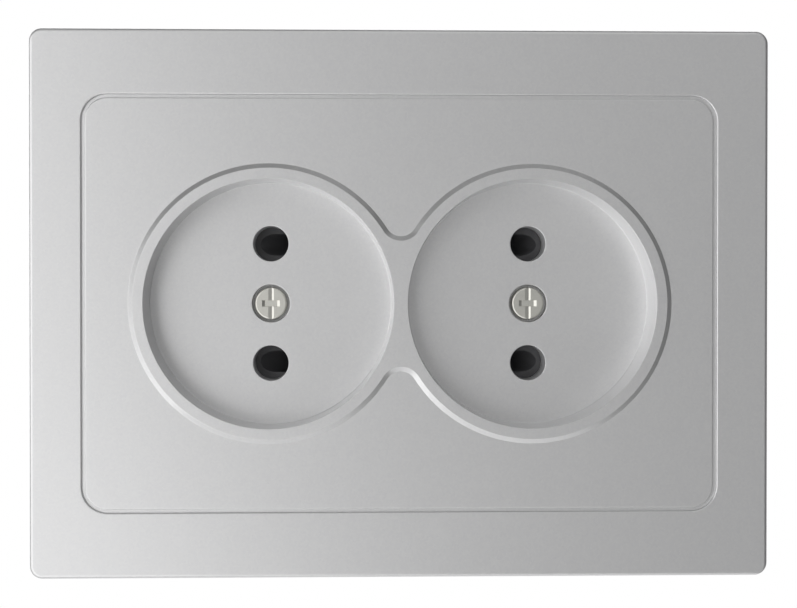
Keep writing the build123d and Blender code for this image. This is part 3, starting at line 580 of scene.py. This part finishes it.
# Shutters: the CAD form, with each ramp narrowed to a round-bottomed gutter for the pin's tip
low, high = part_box("left_shutter")
gutter = dict(front=-low.y / mm, back=-high.y / mm, tip=22.5, end=17.6, opening=2.6, fillInset=0.01,
              fillOverlap=0.02, radius=1.75, arcSteps=24, reach=9.0, edge=0.12)
radius = gutter["radius"]
reach = gutter["reach"]
fillX = (gutter["tip"] + gutter["end"]) / 2
fillLevel = (gutter["front"] + gutter["back"]) / 2
fillSize = (gutter["tip"] - gutter["end"], gutter["front"] - gutter["back"] - gutter["fillInset"],
            2 * (gutter["opening"] + gutter["fillOverlap"]))
# the gutter's section, across and away from its bottom line, which leans 45 degrees
turns = [math.pi * step / gutter["arcSteps"] - math.pi / 2 for step in range(gutter["arcSteps"] + 1)]
section = [(radius * math.sin(turn), radius - radius * math.cos(turn)) for turn in turns]
section += [(radius, reach), (-radius, reach)]
for name, side in (("left_shutter", -1), ("right_shutter", 1)):
    shutter = newPiece(name + "_finished", cadCopy(name), name, "black_plastic", name)
    fillers = bmesh.new()
    channels = bmesh.new()
    for z in (-plate["pinZ"], plate["pinZ"]):
        addBox(fillers, (side * fillX, fillLevel, z), fillSize)
        place = (Matrix.Translation(Vector((side * gutter["tip"], -gutter["front"], z)) * mm)
                 @ Matrix.Rotation(side * math.pi / 4, 4, "Z"))
        verts = [channels.verts.new(place @ (Vector((-side * away, -reach, across)) * mm))
                 for across, away in section]
        face = bmesh.ops.contextual_create(channels, geom=verts)["faces"]
        moved = [item for item in bmesh.ops.extrude_face_region(channels, geom=face)["geom"]
                 if isinstance(item, bmesh.types.BMVert)]
        run = place.to_3x3() @ Vector((0, 2 * reach, 0))
        bmesh.ops.translate(channels, verts=moved, vec=run * mm)
    combine(shutter, fillers, "UNION")
    combine(shutter, channels, "DIFFERENCE")
    soften(shutter, gutter["edge"])
print("shutters cut")

# Hidden and half-hidden pieces: the CAD form with its coplanar triangles joined and its edges softened
softened = {
    "shutter_carrier": dict(body="socket", slot="carrier_plastic", edge=0.12),
    "base": dict(body="socket", slot="base_plastic", edge=0.2),
    "carrier_screws": dict(body="socket", slot="screw_steel", edge=0.12),
    "cover_inserts": dict(body="socket", slot="brass", edge=0.1),
    "upper_busbar": dict(body="socket", slot="brass", edge=0.08),
    "lower_busbar": dict(body="socket", slot="brass", edge=0.08),
    "contact_clips": dict(body="socket", slot="spring_steel", edge=0.08),
    "terminal_clamps": dict(body="socket", slot="sheet_steel", edge=0.1),
    "terminal_screws": dict(body="socket", slot="screw_steel", edge=0.12),
    "support_plate": dict(body="socket", slot="sheet_steel", edge=0.1),
    "base_rivets": dict(body="socket", slot="screw_steel", edge=0.2),
    "claw_screws": dict(body="socket", slot="screw_steel", edge=0.12),
    "upper_claw": dict(body="upper_claw", slot="sheet_steel", edge=0.1),
    "lower_claw": dict(body="lower_claw", slot="sheet_steel", edge=0.1),
    "upper_claw_nut": dict(body="upper_claw_nut", slot="screw_steel", edge=0.12),
    "lower_claw_nut": dict(body="lower_claw_nut", slot="screw_steel", edge=0.12),
}
for name, look in softened.items():
    soften(newPiece(name + "_finished", cadCopy(name), look["body"], look["slot"], name), look["edge"])
print("softened pieces:", len(softened))

# Floor: matt white board that fades out at its edge, far enough below to stay out of the main view
stage = dict(level=-450, radius=450, fadeFrom=250, steps=96, colour="F2F2F2", glowColour="FFFFFF",
             glow=0.5)
floorMesh = bpy.data.meshes.new("floor")
bm = bmesh.new()
bmesh.ops.create_circle(bm, cap_ends=True, segments=stage["steps"], radius=stage["radius"] * mm,
                        matrix=Matrix.Translation((0, 0, stage["level"] * mm)))
bm.to_mesh(floorMesh)
bm.free()
floor = bpy.data.objects.new("floor", floorMesh)
scene.collection.objects.link(floor)
floorMaterial = bpy.data.materials.new("matt_white_floor")
floorMaterial.use_nodes = True
tree = floorMaterial.node_tree
tree.nodes.clear()
coords = addNode(tree, "ShaderNodeTexCoord").outputs["Object"]
rays = addNode(tree, "ShaderNodeLightPath")
flatCoords = addNode(tree, "ShaderNodeMapping", {"Scale": (1, 1, 0)}, {"Vector": coords})
fromMiddle = addNode(tree, "ShaderNodeVectorMath", {"operation": "LENGTH"},
                     {0: flatCoords.outputs["Vector"]})
fade = addNode(tree, "ShaderNodeMapRange",
               {"interpolation_type": "SMOOTHSTEP", "From Min": stage["fadeFrom"] * mm,
                "From Max": stage["radius"] * mm}, {"Value": fromMiddle.outputs["Value"]})
seen = addNode(tree, "ShaderNodeMath", {"operation": "MAXIMUM"},
               {0: rays.outputs["Is Camera Ray"], 1: rays.outputs["Is Glossy Ray"]})
seenAll = addNode(tree, "ShaderNodeMath", {"operation": "MAXIMUM"},
                  {0: seen.outputs["Value"], 1: rays.outputs["Is Transmission Ray"]})
glow = addNode(tree, "ShaderNodeMath", {"operation": "MULTIPLY", 1: stage["glow"]},
               {0: seenAll.outputs["Value"]})
matt = addNode(tree, "ShaderNodeBsdfDiffuse", {"Color": hexColour(stage["colour"])})
light = addNode(tree, "ShaderNodeEmission", {"Color": hexColour(stage["glowColour"])},
                {"Strength": glow.outputs["Value"]})
both = addNode(tree, "ShaderNodeAddShader", links={0: matt.outputs[0], 1: light.outputs[0]})
clear = addNode(tree, "ShaderNodeBsdfTransparent")
soft = addNode(tree, "ShaderNodeMixShader",
               links={0: fade.outputs[0], 1: both.outputs[0], 2: clear.outputs[0]})
addNode(tree, "ShaderNodeOutputMaterial", links={"Surface": soft.outputs[0]})
floorMesh.materials.append(floorMaterial)

# World: white where it is seen, and where metal mirrors the backdrop behind the object, with a
# plain even fill elsewhere
fill = dict(colour="FFFFFF", white=1.0, strength=0.095, backdropFrom=0.25, backdropTo=0.75)
world = bpy.data.worlds.new("studio")
scene.world = world
world.use_nodes = True
tree = world.node_tree
tree.nodes.clear()
rays = addNode(tree, "ShaderNodeLightPath")
coords = addNode(tree, "ShaderNodeTexCoord").outputs["Object"]
direction = addNode(tree, "ShaderNodeSeparateXYZ", links={0: coords})
behind = addNode(tree, "ShaderNodeMapRange",
                 {"interpolation_type": "SMOOTHSTEP", "From Min": fill["backdropFrom"],
                  "From Max": fill["backdropTo"]}, {"Value": direction.outputs["Y"]})
mirrored = addNode(tree, "ShaderNodeMath", {"operation": "MAXIMUM"},
                   {0: rays.outputs["Is Glossy Ray"], 1: rays.outputs["Is Transmission Ray"]})
mirroredBehind = addNode(tree, "ShaderNodeMath", {"operation": "MULTIPLY"},
                         {0: mirrored.outputs["Value"], 1: behind.outputs[0]})
seen = addNode(tree, "ShaderNodeMath", {"operation": "MAXIMUM"},
               {0: rays.outputs["Is Camera Ray"], 1: mirroredBehind.outputs["Value"]})
white = addNode(tree, "ShaderNodeBackground",
                {"Color": hexColour(fill["colour"]), "Strength": fill["white"]})
even = addNode(tree, "ShaderNodeBackground",
               {"Color": hexColour(fill["colour"]), "Strength": fill["strength"]})
pick = addNode(tree, "ShaderNodeMixShader",
               links={0: seen.outputs["Value"], 1: even.outputs[0], 2: white.outputs[0]})
addNode(tree, "ShaderNodeOutputWorld", links={"Surface": pick.outputs[0]})

# Lamps: soft boxes in millimetres and watts. The key is one very large panel at the left, so it is
# dim enough to mirror in the paint without going white. The rest keep the far side and the back
# from going dark.
lamps = {
    "key": dict(place=(-1408, -1336, -484), size=(2960, 3360), power=45.5),
    "near_low": dict(place=(-240, -1750, -950), size=(500, 1300), power=0.8),
    "top": dict(place=(141, -798, 885), size=(1361, 994), power=2.8),
    "low": dict(place=(0, -1286, -1532), size=(1200, 700), power=2.0),
    "far_right_low": dict(place=(1255, -1053, -1147), size=(700, 700), power=1.75),
    "front": dict(place=(399, -1960, 0), size=(1739, 1865), power=2.9),
    "back": dict(place=(-700, 1700, 600), size=(3000, 2600), power=22.0),
}
lampAim = Vector((0, -10, 0)) * mm    # the middle of the face
for name, lamp in lamps.items():
    data = bpy.data.lights.new(name, "AREA")
    data.shape = "RECTANGLE"
    data.size = lamp["size"][0] * mm
    data.size_y = lamp["size"][1] * mm
    data.energy = lamp["power"]
    lampObject = bpy.data.objects.new(name, data)
    place = Vector(lamp["place"]) * mm
    lampObject.location = place
    lampObject.rotation_euler = (lampAim - place).to_track_quat("-Z", "Y").to_euler()
    lampObject.visible_camera = False
    scene.collection.objects.link(lampObject)
print("stage lit:", len(lamps), "lamps")
